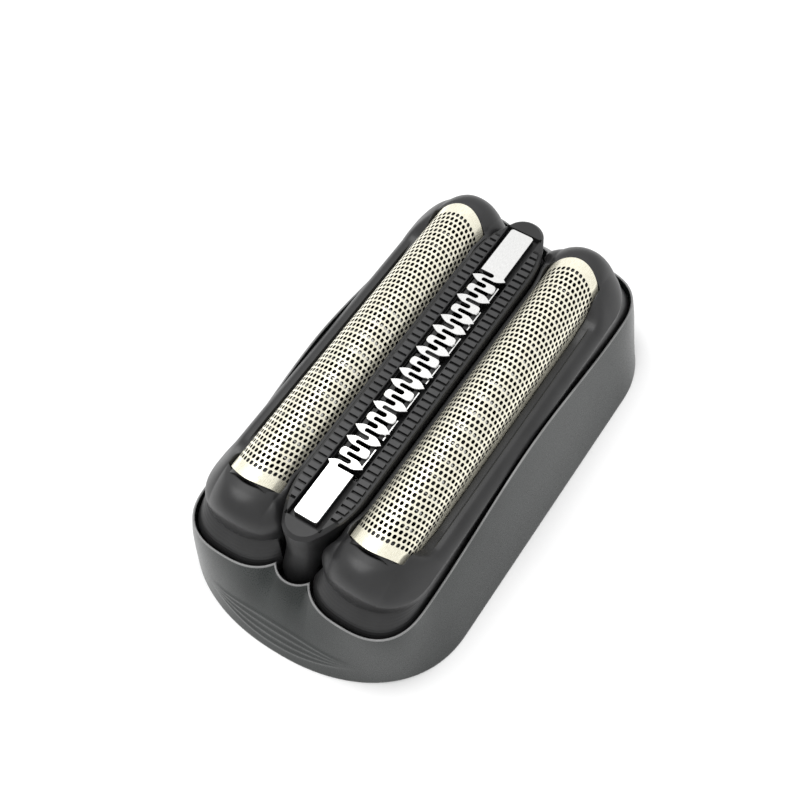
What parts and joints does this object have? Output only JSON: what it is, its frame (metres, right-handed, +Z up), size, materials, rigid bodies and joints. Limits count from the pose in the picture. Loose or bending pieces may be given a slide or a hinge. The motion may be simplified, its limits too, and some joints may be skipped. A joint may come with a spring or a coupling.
{
  "type": "shaver foil head",
  "caption": "Oblong shaver head with two floating arched foils, a finger-guarded trimmer between them and oscillating cutters in a tapered black housing.",
  "frame": {"origin": "centre of the base rim, on the surface it stands on", "axes": "+X along the foils towards the far end of the picture, +Y towards the picture's left foil, +Z up out of the foils"},
  "size_m": [0.0604, 0.0334, 0.0169],
  "materials": {
    "housing_black": "satin to gloss moulded black",
    "frame_black": "fine matte moulded black",
    "trimmer_black": "fine matte moulded black",
    "inner_black": "matte moulded black",
    "carrier_grey": "matte moulded dark grey",
    "foil_nickel": "electroformed pale nickel",
    "guard_steel": "polished stainless steel",
    "blade_steel": "ground stainless steel",
    "spring_steel": "bright spring strip"
  },
  "bodies": {
    "housing": {"outer_housing": "housing_black", "chassis": "inner_black", "left_spring_near": "spring_steel", "left_spring_far": "spring_steel", "right_spring_near": "spring_steel", "right_spring_far": "spring_steel", "trimmer_spring_near": "spring_steel", "trimmer_spring_far": "spring_steel"},
    "left_foil_element": {"left_foil_frame": "frame_black", "left_foil": "foil_nickel"},
    "right_foil_element": {"right_foil_frame": "frame_black", "right_foil": "foil_nickel"},
    "trimmer_element": {"trimmer_frame": "trimmer_black", "trimmer_guard": "guard_steel"},
    "bridge": {"drive_bridge": "carrier_grey"},
    "left_cutter": {"left_blade_stack": "blade_steel", "left_cutter_carrier": "carrier_grey"},
    "right_cutter": {"right_blade_stack": "blade_steel", "right_cutter_carrier": "carrier_grey"},
    "trimmer_blade": {"trimmer_cutter": "blade_steel", "trimmer_slider": "carrier_grey"}
  },
  "joints": [
    {"name": "left_float", "type": "slide", "parent": "housing", "child": "left_foil_element", "axis": [0, 0, 1], "range_m": [-0.002, 0], "stiffness_N_per_m": 150, "springref_m": 0.002, "deforming": ["left_spring_near", "left_spring_far"]},
    {"name": "right_float", "type": "slide", "parent": "housing", "child": "right_foil_element", "axis": [0, 0, 1], "range_m": [-0.002, 0], "stiffness_N_per_m": 150, "springref_m": 0.002, "deforming": ["right_spring_near", "right_spring_far"]},
    {"name": "trimmer_float", "type": "slide", "parent": "housing", "child": "trimmer_element", "axis": [0, 0, 1], "range_m": [-0.002, 0], "stiffness_N_per_m": 150, "springref_m": 0.002, "deforming": ["trimmer_spring_near", "trimmer_spring_far"]},
    {"name": "drive_slide", "type": "slide", "parent": "housing", "child": "bridge", "axis": [1, 0, 0], "range_m": [-0.0012, 0.0012]},
    {"name": "left_cut", "type": "slide", "parent": "left_foil_element", "child": "left_cutter", "axis": [1, 0, 0], "range_m": [-0.0012, 0.0012]},
    {"name": "right_cut", "type": "slide", "parent": "right_foil_element", "child": "right_cutter", "axis": [1, 0, 0], "range_m": [-0.0012, 0.0012]},
    {"name": "trimmer_cut", "type": "slide", "parent": "trimmer_element", "child": "trimmer_blade", "axis": [1, 0, 0], "range_m": [-0.0012, 0.0012]}
  ],
  "couplings": [
    {"joint": "left_cut", "follows": "drive_slide", "ratio": 1},
    {"joint": "right_cut", "follows": "drive_slide", "ratio": 1},
    {"joint": "trimmer_cut", "follows": "drive_slide", "ratio": 1}
  ]
}
